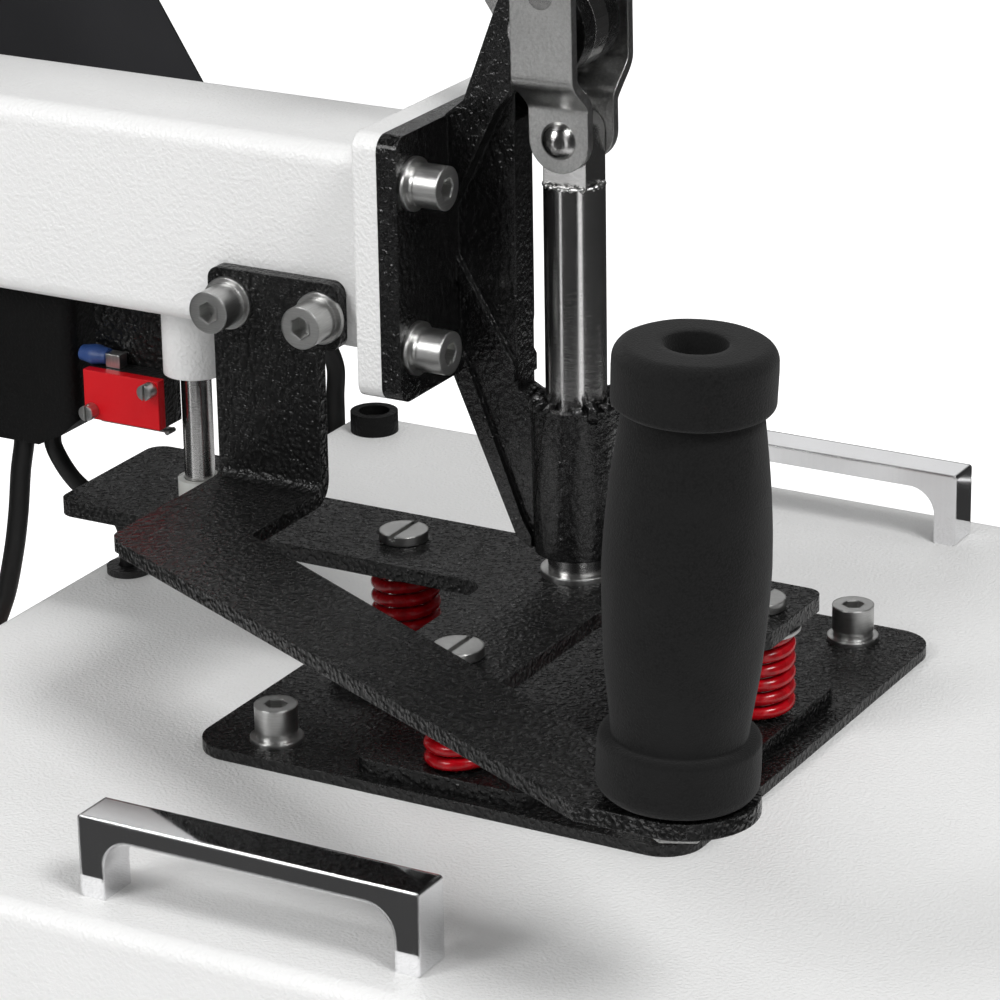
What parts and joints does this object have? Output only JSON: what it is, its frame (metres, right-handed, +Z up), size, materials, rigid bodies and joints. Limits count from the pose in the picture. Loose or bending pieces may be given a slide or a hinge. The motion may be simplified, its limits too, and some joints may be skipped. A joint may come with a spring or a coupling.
{
  "type": "swing-away heat press",
  "caption": "Swing-away flat heat press: a heated platen on springs under a plunger, driven by a lever and toggle link on a swinging arm, above a silicone-padded lower platen.",
  "frame": {"origin": "centre of the silicone pad's top face, under the plunger's axis", "axes": "+Z up, +Y back to the column, -Y the operator's side, +X the operator's right"},
  "size_m": [0.39, 0.569, 0.6522],
  "materials": {
    "frame_paint": "light textured powder coat",
    "white_paint": "white orange-peel powder coat",
    "black_rubber": "matt moulded rubber",
    "black_plastic": "fine textured moulding",
    "panel_plastic": "smooth membrane panel",
    "key_plastic": "satin key caps",
    "red_plastic": "semi-gloss moulding",
    "pad_silicone": "matt silicone sheet",
    "zinc_steel": "zinc plated, satin",
    "turned_steel": "ground and turned steel",
    "plated_steel": "satin plated steel",
    "bronze": "oiled bearing bronze",
    "cast_black": "gloss black over rough casting",
    "wrinkle_black": "black wrinkle powder coat",
    "foam": "matt closed-cell foam",
    "cable_rubber": "smooth cable jacket",
    "clear_ring": "translucent plastic",
    "spring_red": "glossy red enamel",
    "wool": "pressed insulation board",
    "heater_alloy": "machined, coated face",
    "chrome": "mirror chrome plate"
  },
  "bodies": {
    "base": {"side_rails": "frame_paint", "cross_members": "frame_paint", "rail_caps": "black_plastic", "rubber_feet": "black_rubber", "support_posts": "frame_paint", "lower_platen": "frame_paint", "silicone_pad": "pad_silicone", "column": "frame_paint", "column_bolts": "zinc_steel", "spindle": "turned_steel", "thrust_washer": "bronze", "spindle_nut": "wrinkle_black"},
    "swing_arm": {"arm_hub": "white_paint", "arm_tube": "white_paint", "head_casting": "cast_black", "flange_bolts": "zinc_steel", "rod_bush": "white_paint", "handle_bracket": "wrinkle_black", "bracket_bolts": "zinc_steel", "grip_bolt": "zinc_steel", "foam_grip": "foam", "switch_bracket": "wrinkle_black", "switch_body": "black_plastic", "switch_cover": "red_plastic", "switch_screws": "zinc_steel", "lead_boots": "black_rubber", "control_box": "black_plastic", "control_panel": "panel_plastic", "heater_lead": "cable_rubber", "sensor_lead": "cable_rubber", "power_lead": "cable_rubber"},
    "press_lever": {"lever_hub": "turned_steel", "knee_cheeks": "turned_steel", "pivot_pin": "turned_steel", "lever_tube": "plated_steel", "hand_grip": "black_plastic"},
    "toggle": {"toggle_link": "plated_steel", "link_pins": "turned_steel"},
    "plunger": {"plunger": "turned_steel", "plunger_washers": "zinc_steel", "pressure_plate": "wrinkle_black", "guide_rod": "turned_steel", "rod_buffer": "clear_ring"},
    "upper_platen": {"die_springs": "spring_red", "spring_bolts": "zinc_steel", "seat_plate": "wrinkle_black", "mounting_plate": "wrinkle_black", "mount_bolts": "zinc_steel", "platen_cover": "white_paint", "lead_inlets": "black_plastic", "spacer_sleeves": "zinc_steel", "insulation": "wool", "heater_plate": "heater_alloy", "pull_handles": "chrome", "corner_cups": "black_rubber"},
    "switch_blade": {"switch_lever": "zinc_steel"},
    "mode_key": {"key_mode": "key_plastic"},
    "down_key": {"key_down": "key_plastic"},
    "up_key": {"key_up": "key_plastic"},
    "rocker": {"power_rocker": "red_plastic"}
  },
  "joints": [
    {"name": "swing_hinge", "type": "hinge", "parent": "base", "child": "swing_arm", "pos_m": [0, 0.3, 0.2], "axis": [0, 0, 1], "range_deg": [-120, 120]},
    {"name": "plunger_slide", "type": "slide", "parent": "swing_arm", "child": "plunger", "axis": [0, 0, -1], "range_m": [0, 0.0248]},
    {"name": "lever_hinge", "type": "hinge", "parent": "swing_arm", "child": "press_lever", "pos_m": [0, 0.0053, 0.27975], "axis": [1, 0, 0], "range_deg": [0, 152.9]},
    {"name": "link_hinge", "type": "hinge", "parent": "press_lever", "child": "toggle", "pos_m": [0, 0.00043, 0.29181], "axis": [1, 0, 0], "range_deg": [-150.9, 0]},
    {"name": "platen_float", "type": "slide", "parent": "plunger", "child": "upper_platen", "axis": [0, 0, 1], "range_m": [0, 0.005], "stiffness_N_per_m": 40000, "springref_m": -0.004, "deforming": ["die_springs"]},
    {"name": "blade_hinge", "type": "hinge", "parent": "swing_arm", "child": "switch_blade", "pos_m": [-0.00515, 0.165, 0.13601], "axis": [1, 0, 0], "range_deg": [0, 5], "stiffness_Nm_per_rad": 0.02},
    {"name": "mode_key_press", "type": "slide", "parent": "swing_arm", "child": "mode_key", "axis": [0, 0.848, -0.5299], "range_m": [0, 0.0012], "stiffness_N_per_m": 300},
    {"name": "down_key_press", "type": "slide", "parent": "swing_arm", "child": "down_key", "axis": [0, 0.848, -0.5299], "range_m": [0, 0.0012], "stiffness_N_per_m": 300},
    {"name": "up_key_press", "type": "slide", "parent": "swing_arm", "child": "up_key", "axis": [0, 0.848, -0.5299], "range_m": [0, 0.0012], "stiffness_N_per_m": 300},
    {"name": "rocker_tilt", "type": "hinge", "parent": "swing_arm", "child": "rocker", "pos_m": [0.1217, 0.23, 0.21611], "axis": [0, 0, 1], "range_deg": [-6, 6]}
  ],
  "couplings": [
    {"joint": "lever_hinge", "follows": "plunger_slide", "rad_per_m": 107.42},
    {"joint": "link_hinge", "follows": "plunger_slide", "rad_per_m": -106.01}
  ]
}
